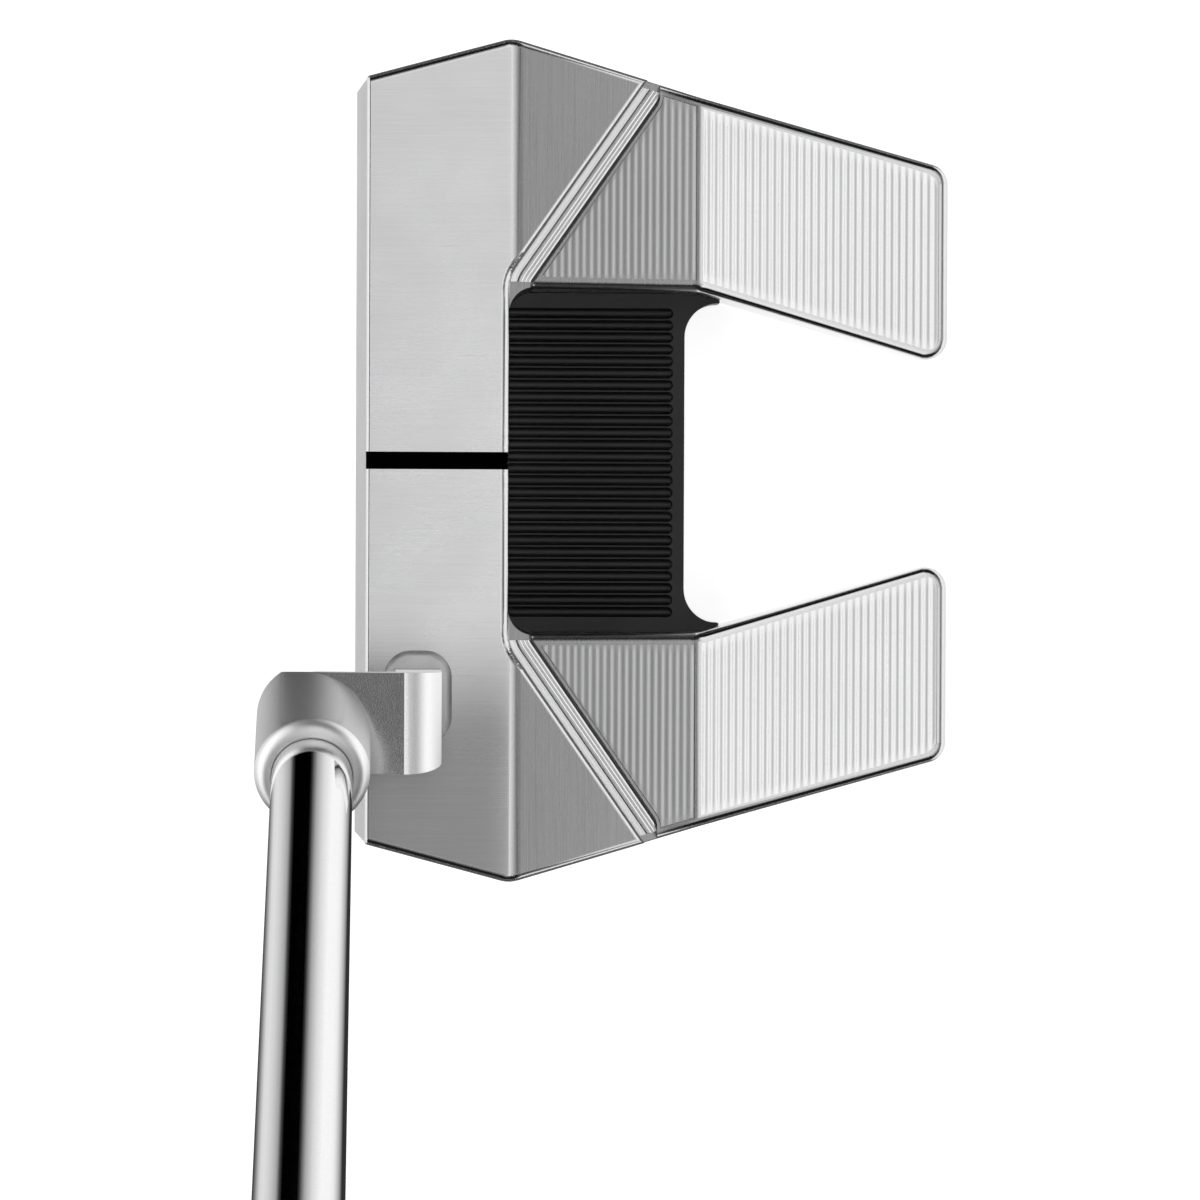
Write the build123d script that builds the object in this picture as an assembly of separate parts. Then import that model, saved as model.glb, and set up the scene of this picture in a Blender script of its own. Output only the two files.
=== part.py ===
"""Mallet putter, right-handed, 34 inch, with a plumbing neck.

Frame of the finished club, in millimetres: +Z up from the ground, +Y from the face to the rear,
+X from the toe to the heel. The club stands as at address and its origin is on the ground under
the middle of the sole. While the pieces are made, Y is counted from the top line of the face.
"""
from build123d import *
import math
import os

# ---- head, seen from above -------------------------------------------------------------------
top_line_half = 45.5        # half length of the top line
widest_half = 50.95         # half of the heel-to-toe size at the widest point
widest_y = 17.4             # where the widest point lies
head_depth = 71.05          # top line to the ends of the wings
wing_end_half = 36.1        # outer edge of a wing at its end
wing_end_gap_half = 11.8    # inner edge of a wing at its end
cavity_half = 20.9          # half width of the cavity behind the deck
deck_depth = 17.2           # top line to the cavity
front_corner_r = 0.8
widest_r = 4.0
wing_corner_r = 2.6
gap_corner_r = 8.0          # where the cavity meets the gap between the wings

# ---- head, seen from the heel ----------------------------------------------------------------
head_height = 25.0
face_loft = 3.5             # degrees
facet_setback = 0.8         # from the deck's rear edge to the crease where the facets start to fall
facet_length = 22.5         # from that crease to the one between the facets and the wings
facet_start = deck_depth + facet_setback
facet_end = facet_start + facet_length
wing_height = 15.3          # upper side of the wings at their crease
wing_slope = 3.0            # degrees
deck_blend_r = 5.0          # round between the deck and the facets
leading_edge_r = 2.6
sole_rise_start = 44.0      # the sole is flat up to here
sole_rise = 7.0             # degrees
sole_flat_half = 16.0
sole_camber_r = 190.0
sole_mark_y = 26.0          # the middle of the sole's flat, which is the club's origin

# ---- step and groove between the plain and the ridged facets ----------------------------------
step_start_x = 22.2         # where the step leaves the rear edge of the deck
step_angle = 55.2           # degrees from the Y axis
step_turn_r = 5.0
step_drop = 1.5             # plain facet down to ridged facet
groove_drop = 0.45          # ridged facet down to groove
groove_width = 2.8
groove_exit_inset = 2.2     # the groove widens this far inside the outer edge
ridge_corner_r = 2.4
ridge_relief = 0.22         # the ridged areas are sunk by this much
ridge_rim = 1.15            # plain rim beside a ridged area

# ---- edges ------------------------------------------------------------------------------------
edge_r = 0.95               # rounded upper edges of the head
top_line_edge_r = 0.45

# ---- sight line -------------------------------------------------------------------------------
sight_width = 2.1
sight_depth = 0.5

# ---- flange plate and its gasket ----------------------------------------------------------------
flange_top = 7.0
flange_length = 21.9        # from the deck to the plate's rear edge
flange_rear_y = deck_depth + flange_length
flange_ear_length = 4.3     # the ears run on along the wings
flange_ear_r = 4.2
flange_ear_tip = 0.3
flange_ledge = 8.2          # how far the ledge reaches under the head at each side
flange_tongue = 6.5         # and in front
flange_ledge_t = 3.0
flange_ledge_setback = 1.1  # the ledge ends this far before the plate's rear edge
flange_ledge_rear_y = flange_rear_y - flange_ledge_setback
flange_ledge_corner_r = 3.0
flange_corner_r = 3.0
flange_clearance = 0.05
gasket_t = 0.5
rib_grooves = 26
rib_pitch = 1.47
rib_groove_r = 0.66
rib_groove_depth = 0.55
rib_end_margin = 1.4        # plain land between the grooves' ends and the rear edge

# ---- flange screws (M4 countersunk) ---------------------------------------------------------------
flange_screw_x = 24.9
flange_screw_setbacks = (-2.2, 16.2)  # from the deck's rear edge
flange_screw_d = 4.0
flange_screw_head_d = 7.2
flange_screw_head_t = 2.1
flange_screw_length = 10.0
flange_screw_socket = 2.5   # across flats
flange_screw_socket_depth = 1.5
screw_recess = 0.25         # heads sit this far under the sole
screw_clearance = 0.15      # radial, in plain holes
thread_clearance = 0.05     # radial, in tapped holes
tap_run_out = 0.5           # a tapped hole is this much deeper than its screw

# ---- sole weights -------------------------------------------------------------------------------
weight_x = 27.4
weight_setback = 13.55      # from the wings' ends to the middle of a weight
weight_y = head_depth - weight_setback
weight_head_d = 15.0
weight_head_t = 2.4
weight_thread_d = 11.0
weight_length = 8.2
weight_pin_hole_d = 2.0
weight_pin_spacing = 9.0
weight_pin_hole_depth = 1.5
weight_chamfer = 0.4
weight_clearance = 0.1
washer_t = 0.5

# ---- plumbing neck --------------------------------------------------------------------------------
lie = 70.0                  # degrees between shaft and ground
hosel_x = 36.85             # middle of the hosel's rim
hosel_y = -6.0
hosel_rise = 36.0           # deck to the middle of the rim
hosel_d = 13.4
hosel_length = 19.15
hosel_rim_r = 1.5
neck_side_x = 25.1          # flat toe side of the neck
arm_rise = 24.3             # deck to the top of the arm
arm_t = 6.3
arm_heel_x = 37.0
arm_bend_r = 4.4
arm_inner_r = 2.0
arm_fall = 0.8              # the arm's top falls this much from the bend to the hosel
post_front_y = 3.6
post_rear_y = 9.05
foot_heel_x = 31.95
post_bulge = 0.7            # the heel side of the post bows inwards by this much
pocket_gap_x = 2.2          # at the toe and heel sides of the post's foot
pocket_gap_y = 1.36         # in front of and behind the foot
pocket_depth = 1.4
pocket_corner_r = 3.2
tenon_inset = 0.75
tenon_length = 6.0
tenon_clearance = 0.05

# ---- neck screw (M3 cap screw) ----------------------------------------------------------------------
neck_screw_d = 3.0
neck_screw_head_d = 5.5
neck_screw_head_t = 3.0
neck_screw_socket = 2.5     # across flats
neck_screw_socket_depth = 1.5
neck_screw_seat_z = 7.5
neck_screw_reach = 5.8      # thread inside the tenon

# ---- shaft, grip ------------------------------------------------------------------------------------
club_length = 863.6         # ground to the end of the grip cap, along the shaft
shaft_tip_d = 9.4
shaft_butt_d = 15.0
shaft_wall = 0.55
shaft_insertion = 16.0      # into the hosel
shaft_clearance = 0.05
shaft_plain = 150.0         # from the hosel's rim to the first step
shaft_steps = 13
step_taper = 1.6            # length of the cone at each step
last_step_gap = 25.0        # from the last step to the grip's mouth
tip_plug_length = 12.0
plug_clearance = 0.02
grip_length = 264.0
grip_tape_t = 0.3
grip_end_trim = 3.0         # the tape stops short of the grip's mouth
cap_t = 4.0
cap_edge_r = 1.5
cap_spigot_length = 8.0
cap_vent_d = 2.4

# Grip sections from the mouth to the cap: share of the length, radius, thumb flat's distance from
# the middle, and how far the middle lies under the shaft's axis (the pistol swell).
grip_sections = [
    (0.00, 9.4, 8.9, 0.0),
    (0.20, 10.6, 9.4, 0.2),
    (0.50, 11.6, 9.7, 0.6),
    (0.78, 13.2, 10.3, 1.8),
    (1.00, 13.0, 10.0, 1.2),
]

# ---- worked out -------------------------------------------------------------------------------------
far = 4 * max(head_depth, widest_half)
same = 0.01                 # places closer than this count as the same
past = 5.0                  # how far cutters run past what they cut
under = -past
over = head_height + past
rear = head_depth + past
core_d = shaft_butt_d + 2 * grip_tape_t
tan_facet = (head_height - step_drop - wing_height) / (facet_end - facet_start)
tan_loft = math.tan(math.radians(face_loft))
side_slope = (widest_half - wing_end_half) / (head_depth - widest_y)
inner_slope = (cavity_half - wing_end_gap_half) / (head_depth - facet_end)
lean = math.radians(90 - lie)
hosel_z = head_height + hosel_rise
arm_top = head_height + arm_rise
arm_bottom = arm_top - arm_t
foot_z = head_height - pocket_depth
foot_x = (neck_side_x + foot_heel_x) / 2
foot_y = (post_front_y + post_rear_y) / 2
foot_length = foot_heel_x - neck_side_x
foot_width = post_rear_y - post_front_y
tenon_z = foot_z - tenon_length
ear_y = flange_rear_y + flange_ear_length

# The shaft's own plane: its origin is where the axis meets the ground, its z runs up the shaft,
# and its x points down, square to the shaft. Places along the shaft are counted from the ground.
shaft_plane = Plane(
    origin=(hosel_x - hosel_z * math.tan(lean), hosel_y, 0),
    x_dir=(math.cos(lean), 0, -math.sin(lean)),
    z_dir=(math.sin(lean), 0, math.cos(lean)),
)
rim_s = hosel_z / math.cos(lean)
tip_s = rim_s - shaft_insertion
butt_s = club_length - cap_t
grip_s = butt_s - grip_length


def outline(corners):
    """A closed face from (a, b, radius) corners."""
    points = [(a, b) for a, b, r in corners]
    return make_face(FilletPolyline(*points, radius=[r for a, b, r in corners], close=True))


def from_above(corners, bottom, top):
    """The solid over an outline in X and Y, from one height to another."""
    return extrude(Plane.XY.offset(bottom) * outline(corners), top - bottom)


def from_heel(corners):
    """The long solid along X of an outline in Y and Z."""
    return extrude(Plane.YZ * outline(corners), far / 2, both=True)


def facet_z(y, drop=0.0):
    """Height of the sloped facets at y, lowered by drop."""
    return head_height - drop - tan_facet * (y - facet_start)


# ---- head body ----------------------------------------------------------------------------------------
def head_blank():
    """The head's outer block: outline from above, profile from the heel, camber from the face."""
    front = -tan_loft * head_height
    half = [
        (0, 2 * front, 0),
        (top_line_half, 2 * front, front_corner_r),
        (widest_half, widest_y, widest_r),
        (wing_end_half, head_depth, wing_corner_r),
        (wing_end_gap_half, head_depth, wing_corner_r),
        (cavity_half, facet_end, gap_corner_r),
        (cavity_half, deck_depth, flange_corner_r),
        (0, deck_depth, 0),
    ]
    rise = (rear - sole_rise_start) * math.tan(math.radians(sole_rise))
    side = [
        (front, 0, leading_edge_r),
        (0, head_height, 0),
        (facet_start, head_height, deck_blend_r),
        (facet_end, facet_z(facet_end), 0),
        (rear, facet_z(facet_end), 0),
        (rear, rise, 0),
        (sole_rise_start, 0, 0),
    ]
    return from_above(half, under, over) & from_heel(side) & camber()


def camber():
    """Everything above the sole's camber, which is flat in the middle and rises to heel and toe."""
    reach = widest_half + past
    rise = sole_camber_r - math.sqrt(sole_camber_r**2 - (reach - sole_flat_half) ** 2)
    half_turn = math.asin((reach - sole_flat_half) / sole_camber_r) / 2
    middle_x = sole_flat_half + sole_camber_r * math.sin(half_turn)
    middle_z = sole_camber_r * (1 - math.cos(half_turn))
    arc = ThreePointArc((sole_flat_half, 0), (middle_x, middle_z), (reach, rise))
    lines = Polyline((reach, rise), (reach, over), (0, over), (0, 0), (sole_flat_half, 0))
    half = extrude(Plane.XZ * make_face(arc + lines), far / 2, both=True)
    return half + mirror(half, Plane.YZ)


def step_x(y, offset=0.0):
    """X of the step's wall at y, or of a line parallel to it, offset further back."""
    angle = math.radians(step_angle)
    return step_start_x + math.tan(angle) * (y - deck_depth) - offset / math.cos(angle)


def step_y(x, offset=0.0):
    angle = math.radians(step_angle)
    return deck_depth + (x - step_start_x + offset / math.cos(angle)) / math.tan(angle)


def behind_step():
    """Plan of the region behind the step, one side."""
    return [
        (under, deck_depth, 0),
        (step_start_x, deck_depth, step_turn_r),
        (step_x(rear), rear, 0),
        (under, rear, 0),
    ]


def ridged_front(offset):
    """Where the ridged facet's front edge turns outwards, for a line this far behind the step."""
    x0 = step_x(0, offset)
    slope = math.tan(math.radians(step_angle)) + side_slope
    y = (widest_half - groove_exit_inset + side_slope * widest_y - x0) / slope
    return step_x(y, offset), y


def ridged_plan():
    """Plan of the ridged facet and wing, one side, out past the head's edges."""
    x, y = ridged_front(groove_width)
    side = far / 4
    start = (0, step_y(0, groove_width), 0)
    return [start, (x, y, ridge_corner_r), (side, y, 0), (side, rear, 0), (0, rear, 0)]


def above_facets(drop):
    """Everything above the facets and wings, both lowered by drop."""
    start = deck_depth - past
    top = over + past
    fall = (rear - facet_end) * math.tan(math.radians(wing_slope))
    return from_heel([
        (start, facet_z(start, drop), 0),
        (facet_end, facet_z(facet_end, drop), 0),
        (rear, facet_z(facet_end, drop) - fall, 0),
        (rear, top, 0),
        (start, top, 0),
    ])


def top_edges(solid, floor):
    """Edges of a solid's upper side: those above floor that aren't upright."""
    def stands(edge):
        box = edge.bounding_box().size
        return max(box.X, box.Y) < edge_r and box.Z > edge_r / 4
    return [e for e in solid.edges() if e.center().Z > floor and not stands(e)]


def front_block():
    """Half of the deck with its plain facet, rounded along the rim and along the step."""
    block = head_blank() - from_above(behind_step(), under, over)
    rim = [e for e in top_edges(block, head_height / 2) if e.center().Y > edge_r and not crease(e)]
    block = fillet(rim, edge_r)
    top_line = [e for e in block.edges() if math.hypot(e.center().Y, e.center().Z - head_height) < same]
    return fillet(top_line, top_line_edge_r)


def crease(edge):
    """True on the edges inside the upper side: the deck's crease and the half's middle plane."""
    box = edge.bounding_box()
    across = box.size.Y < same and box.size.X > past
    at_an_end = any(abs(box.min.Y - y) < same for y in (0, deck_depth, head_depth))
    return (across and not at_an_end) or box.max.X < same


def rear_body():
    """Half of the ridged facet and wing, with rounded rims, the groove and the ridged areas' reliefs."""
    start = deck_depth - past / 2
    side = far / 4
    half = [(0, start, 0), (side, start, 0), (side, rear, 0), (0, rear, 0)]
    keep = from_above(half, under, over)
    body = (head_blank() & keep) - above_facets(step_drop)
    upper = top_edges(body, wing_height / 2)
    rim = [e for e in upper if e.center().Y > deck_depth + edge_r / 2 and not crease(e)]
    body = fillet(rim, edge_r)
    behind = from_above(behind_step(), under, over)
    ridged = from_above(ridged_plan(), under, over)
    body = body - ((behind - ridged) & above_facets(step_drop + groove_drop))
    for relief in ridge_reliefs():
        body = body - relief
    return body


def ridge_reliefs():
    """Shallow sinks inside the rims of the ridged facet and of the wing, one side."""
    rim = ridge_rim
    gap = rim / 4
    back = head_depth - rim
    offset = groove_width + gap

    def outer(y):
        return widest_half - side_slope * (y - widest_y) - rim * math.hypot(1, side_slope)

    def inner(y):
        return cavity_half - inner_slope * (y - facet_end) + rim * math.hypot(1, inner_slope)

    x, y = ridged_front(offset)
    facet = [
        (inner(facet_end), step_y(inner(facet_end), offset), 0),
        (x, y, ridge_corner_r),
        (outer(y), y, 0),
        (outer(facet_end - gap), facet_end - gap, 0),
        (inner(facet_end), facet_end - gap, 0),
    ]
    wing = [
        (inner(facet_end + gap), facet_end + gap, 0),
        (outer(facet_end + gap), facet_end + gap, 0),
        (outer(back), back, wing_corner_r - rim),
        (inner(back), back, wing_corner_r - rim),
    ]
    above = above_facets(step_drop + ridge_relief)
    return [from_above(plan, 0, head_height) & above for plan in (facet, wing)]


def sight_line_bar():
    """The milled slot along the target line, from the top line to the cavity."""
    bottom = head_height - sight_depth
    half = sight_width / 2
    front = -2 * tan_loft * head_height
    corners = [(-half, front, 0), (half, front, 0), (half, deck_depth, 0), (-half, deck_depth, 0)]
    return from_above(corners, bottom, over)


def neck_pocket():
    """The milled pocket round the foot of the post, with the socket for its tenon."""
    x0 = neck_side_x - pocket_gap_x
    x1 = foot_heel_x + pocket_gap_x
    y0 = post_front_y - pocket_gap_y
    y1 = post_rear_y + pocket_gap_y
    r = pocket_corner_r
    corners = [(x0, y0, r), (x1, y0, r), (x1, y1, r), (x0, y1, r)]
    pocket = from_above(corners, foot_z, over)
    floor = [e for e in pocket.edges() if abs(e.center().Z - foot_z) < same]
    pocket = fillet(floor, pocket_depth / 2)
    socket = tenon(tenon_clearance, tenon_length + tenon_clearance)
    return pocket + socket


def tenon(grow, length):
    """The tenon under the post, larger by grow all round."""
    size_x = foot_length - 2 * tenon_inset + 2 * grow
    size_y = foot_width - 2 * tenon_inset + 2 * grow
    corner = min(size_x, size_y) / 4
    plan = Pos(foot_x, foot_y) * RectangleRounded(size_x, size_y, corner)
    return extrude(Plane.XY.offset(foot_z - length) * plan, length)


def upright(x, y, z0, z1, d):
    """A cylinder from height z0 to z1."""
    return Pos(x, y, (z0 + z1) / 2) * Cylinder(d / 2, z1 - z0)


def neck_screw_hole():
    """Counterbore and plain hole from the sole up to the tenon's socket."""
    bore = upright(foot_x, foot_y, under, neck_screw_seat_z, neck_screw_head_d + 4 * screw_clearance)
    return bore + upright(foot_x, foot_y, under, tenon_z, neck_screw_d + 2 * screw_clearance)


def gap_x(y):
    """Half width of the open middle of the head at y: the cavity, then the gap between the wings."""
    return cavity_half - inner_slope * max(y - facet_end, 0)


def gap_plan(inset, rear_y):
    """Plan of the cavity and the gap behind it up to rear_y, made smaller by inset."""
    front = deck_depth + inset
    right = [
        (cavity_half - inset, front, flange_corner_r),
        (cavity_half - inset, facet_end, gap_corner_r),
        (gap_x(rear_y) - inset, rear_y, 0),
    ]
    left = [(-x, y, r) for x, y, r in reversed(right)]
    return right + left


def ledge_plan(grow):
    """Plan of the plate's ledge, which reaches under the head on three sides."""
    x = cavity_half + flange_ledge + grow
    front = deck_depth - flange_tongue - grow
    rear = flange_ledge_rear_y + grow
    r = flange_ledge_corner_r
    return [(-x, front, r), (x, front, r), (x, rear, r), (-x, rear, r)]


def screw_places():
    ys = [deck_depth + setback for setback in flange_screw_setbacks]
    return [(side * flange_screw_x, y) for side in (-1, 1) for y in ys]


def flange_recess():
    """What the head leaves for the ledge, the gasket and the plate's screws."""
    recess = from_above(ledge_plan(flange_clearance), under, flange_ledge_t + gasket_t)
    for x, y in screw_places():
        d = flange_screw_d + 2 * thread_clearance
        top = screw_recess + flange_screw_length + tap_run_out
        recess = recess + upright(x, y, 0, top, d)
    return recess


def weight_plane(side):
    """On the sole under a wing, pointing up into the wing, square to the sole there."""
    turn = math.radians(sole_rise)
    z = (weight_y - sole_rise_start) * math.tan(turn) + camber_z(weight_x)
    up = (0, -math.sin(turn), math.cos(turn))
    return Plane(origin=(side * weight_x, weight_y, z), x_dir=(1, 0, 0), z_dir=up)


def camber_z(x):
    beyond = max(abs(x) - sole_flat_half, 0)
    return sole_camber_r - math.sqrt(sole_camber_r**2 - beyond**2)


def disc(d, z0, z1):
    return Pos(0, 0, (z0 + z1) / 2) * Cylinder(d / 2, z1 - z0)


def weight_seat(side):
    """Counterbore and tapped hole for one sole weight."""
    seat = screw_recess + weight_head_t + washer_t
    top = screw_recess + weight_length + tap_run_out
    head = disc(weight_head_d + 2 * weight_clearance, under, seat)
    thread = disc(weight_thread_d + 2 * thread_clearance, under, top)
    return weight_plane(side) * (head + thread)


def head_body():
    half = front_block() + rear_body()
    head = half + mirror(half, Plane.YZ)
    head = head - sight_line_bar() - neck_pocket() - neck_screw_hole() - flange_recess()
    for side in (-1, 1):
        head = head - weight_seat(side)
    return head


# ---- sight line paint, flange plate, gasket -----------------------------------------------------------
def sight_line():
    half = front_block() & sight_line_bar()
    return half + mirror(half, Plane.YZ)


def flange_gasket():
    """Thin damping sheet between the plate's ledge and the head."""
    top = flange_ledge_t + gasket_t
    gasket = from_above(ledge_plan(0), flange_ledge_t, top)
    gasket = gasket - from_above(gap_plan(0, head_depth), 0, head_height)
    for x, y in screw_places():
        gasket = gasket - upright(x, y, 0, head_height, flange_screw_d + 2 * screw_clearance)
    return gasket


def sole_flange():
    """Plate that closes the floor of the cavity: ribbed on top, with a ledge under the head."""
    plate = from_above(gap_plan(flange_clearance, ear_y), 0, flange_top)
    ear_x = gap_x(ear_y) - flange_clearance - flange_ear_tip
    bite = [(-ear_x, flange_rear_y, flange_ear_r), (ear_x, flange_rear_y, flange_ear_r),
            (ear_x, far / 4, 0), (-ear_x, far / 4, 0)]
    plate = plate - from_above(bite, under, over)
    plate = (plate + from_above(ledge_plan(0), 0, flange_ledge_t)) & camber()
    for x, y in screw_places():
        plate = plate - flange_screw_hole(x, y)
    return plate - rib_cutters()


def flange_screw_hole(x, y):
    """Plain hole with a countersink that the screw's head seats in."""
    hole = upright(x, y, under, head_height, flange_screw_d + 2 * screw_clearance)
    mouth = upright(x, y, under, screw_recess, flange_screw_head_d + 2 * screw_clearance)
    return hole + mouth + screw_cone(x, y)


def screw_cone(x, y):
    z = screw_recess + flange_screw_head_t / 2
    return Pos(x, y, z) * Cone(flange_screw_head_d / 2, flange_screw_d / 2, flange_screw_head_t)


def rib_cutters():
    """Round-bottomed grooves along Y with ball ends, side by side across the plate's top."""
    end = flange_rear_y - rib_end_margin - rib_groove_r
    start = deck_depth - past
    z = flange_top + rib_groove_r - rib_groove_depth
    groove = Pos(0, (start + end) / 2, z) * Rot(90, 0, 0) * Cylinder(rib_groove_r, end - start)
    groove = groove + Pos(0, end, z) * Sphere(rib_groove_r)
    first = -rib_pitch * (rib_grooves - 1) / 2
    return [Pos(first + rib_pitch * i, 0, 0) * groove for i in range(rib_grooves)]


# ---- fasteners and weights ------------------------------------------------------------------------------
def hex_socket(across_flats, depth):
    """Hexagonal socket cutter from z = 0 up."""
    radius = across_flats / 2 / math.cos(math.radians(30))
    return extrude(RegularPolygon(radius, 6), depth)


def flange_screws():
    solids = []
    for x, y in screw_places():
        top = screw_recess + flange_screw_length
        screw = screw_cone(x, y) + upright(x, y, screw_recess, top, flange_screw_d)
        socket = Pos(x, y, screw_recess) * hex_socket(flange_screw_socket, flange_screw_socket_depth)
        solids.append(screw - socket)
    return solids


def sole_weight(side):
    """Round weight with a threaded shank and two spanner holes in its face."""
    seat = screw_recess + weight_head_t
    body = disc(weight_head_d, screw_recess, seat)
    rim = [e for e in body.edges() if abs(e.center().Z - screw_recess) < same]
    body = chamfer(rim, weight_chamfer) + disc(weight_thread_d, seat, screw_recess + weight_length)
    for x in (-weight_pin_spacing / 2, weight_pin_spacing / 2):
        body = body - Pos(x, 0, 0) * disc(weight_pin_hole_d, 0, screw_recess + weight_pin_hole_depth)
    return weight_plane(side) * body


def weight_washers():
    """Damping rings between the weights' heads and their seats."""
    seat = screw_recess + weight_head_t
    ring = disc(weight_head_d, seat, seat + washer_t)
    ring = ring - disc(weight_thread_d + 2 * weight_clearance, 0, head_height)
    return [weight_plane(side) * ring for side in (-1, 1)]


def neck_screw():
    head_z = neck_screw_seat_z - neck_screw_head_t
    top = tenon_z + neck_screw_reach
    screw = upright(foot_x, foot_y, head_z, neck_screw_seat_z, neck_screw_head_d)
    screw = screw + upright(foot_x, foot_y, neck_screw_seat_z, top, neck_screw_d)
    return screw - Pos(foot_x, foot_y, head_z) * hex_socket(neck_screw_socket, neck_screw_socket_depth)


# ---- plumbing neck ----------------------------------------------------------------------------------------
def neck_arm():
    """Arm and post: an elbow seen from the heel, narrowed on its heel side seen from the face."""
    crease_y = post_rear_y - arm_bend_r - same
    elbow = from_heel([
        (hosel_y, arm_top - arm_fall, 0),
        (crease_y, arm_top, 0),
        (post_rear_y, arm_top, arm_bend_r),
        (post_rear_y, foot_z, 0),
        (post_front_y, foot_z, 0),
        (post_front_y, arm_bottom, arm_inner_r),
        (hosel_y, arm_bottom, 0),
    ])
    foot = (foot_heel_x, foot_z)
    top = (arm_heel_x, arm_top)
    middle = ((foot_heel_x + arm_heel_x) / 2 - post_bulge, (foot_z + arm_top) / 2)
    side = ThreePointArc(foot, middle, top)
    lines = Polyline(top, (neck_side_x, arm_top), (neck_side_x, foot_z), foot)
    return elbow & extrude(Plane.XZ * make_face(side + lines), far / 2, both=True)


def plumbing_neck():
    barrel = shaft_plane * disc(hosel_d, rim_s - hosel_length, rim_s)
    neck = barrel + neck_arm()
    toe_side = Pos(neck_side_x - far / 2, 0, 0) * Box(far, far, far)
    neck = neck - toe_side
    bore_d = shaft_tip_d + 2 * shaft_clearance
    rim = max(neck.edges().filter_by(GeomType.CIRCLE), key=lambda e: e.center().Z)
    neck = fillet(rim, hosel_rim_r)
    neck = neck - shaft_plane * disc(bore_d, tip_s - shaft_clearance, rim_s + past)
    neck = neck + tenon(0, tenon_length)
    hole_d = neck_screw_d + 2 * thread_clearance
    return neck - upright(foot_x, foot_y, 0, tenon_z + neck_screw_reach + tap_run_out, hole_d)


# ---- shaft and grip -----------------------------------------------------------------------------------------
def shaft():
    """Stepped tube: a parallel tip, then short cones, each a little wider, up to the butt."""
    rise = (shaft_butt_d - shaft_tip_d) / 2 / shaft_steps
    first = rim_s + shaft_plain
    pitch = (grip_s - last_step_gap - step_taper - first) / (shaft_steps - 1)
    r = shaft_tip_d / 2
    outside = [(r, tip_s)]
    for i in range(shaft_steps):
        s = first + pitch * i
        outside += [(r + rise * i, s), (r + rise * (i + 1), s + step_taper)]
    outside.append((shaft_butt_d / 2, butt_s))
    inside = [(r - shaft_wall, s) for r, s in reversed(outside)]
    profile = Plane.XZ * make_face(Polyline(*outside, *inside, outside[0]))
    return shaft_plane * revolve(profile, Axis.Z)


def tip_plug():
    d = shaft_tip_d - 2 * shaft_wall - 2 * plug_clearance
    return shaft_plane * disc(d, tip_s, tip_s + tip_plug_length)


def tube(outer_d, inner_d, s0, s1):
    return disc(outer_d, s0, s1) - disc(inner_d, s0 - past, s1 + past)


def grip_tape():
    return shaft_plane * tube(core_d, shaft_butt_d, grip_s + grip_end_trim, butt_s)


def grip_section(s, r, flat, drop):
    """D-shaped section: a round back with a flat for the thumbs on the upper side."""
    half = math.sqrt(r * r - flat * flat)
    back = ThreePointArc((drop - flat, -half), (drop + r, 0), (drop - flat, half))
    return Plane.XY.offset(s) * make_face(back + Line((drop - flat, half), (drop - flat, -half)))


def grip():
    sections = [grip_section(grip_s + share * grip_length, *rest) for share, *rest in grip_sections]
    body = loft(sections)
    return shaft_plane * (body - disc(core_d, grip_s - past, butt_s + past))


def grip_cap():
    """End cap: the grip's last section, rounded, with a spigot in the shaft and a vent hole."""
    section = grip_section(butt_s, *grip_sections[-1][1:])
    cap = extrude(section, cap_t)
    rim = [e for e in cap.edges() if abs(e.center().Z - club_length) < same]
    cap = fillet(rim, cap_edge_r)
    spigot_d = shaft_butt_d - 2 * shaft_wall - 2 * plug_clearance
    cap = cap + disc(spigot_d, butt_s - cap_spigot_length, butt_s)
    return shaft_plane * (cap - disc(cap_vent_d, 0, club_length + past))


# ---- write one file per piece ---------------------------------------------------------------------------------
pieces = {
    "head_body": head_body,
    "sight_line": sight_line,
    "sole_flange": sole_flange,
    "flange_gasket": flange_gasket,
    "flange_screws": flange_screws,
    "toe_weight": lambda: sole_weight(-1),
    "heel_weight": lambda: sole_weight(1),
    "weight_washers": weight_washers,
    "plumbing_neck": plumbing_neck,
    "neck_screw": neck_screw,
    "shaft": shaft,
    "tip_plug": tip_plug,
    "grip_tape": grip_tape,
    "grip": grip,
    "grip_cap": grip_cap,
}

os.makedirs("parts", exist_ok=True)
for name, make in pieces.items():
    made = make()
    solids = made if isinstance(made, list) else [made]
    placed = [Pos(0, -sole_mark_y, 0) * solid for solid in solids]
    export_step(Compound(placed) if len(placed) > 1 else placed[0], f"parts/{name}.step")
    print(name, "written")
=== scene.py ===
import math

import bmesh
import bpy
import numpy as np
from mathutils import Matrix, Vector


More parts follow.
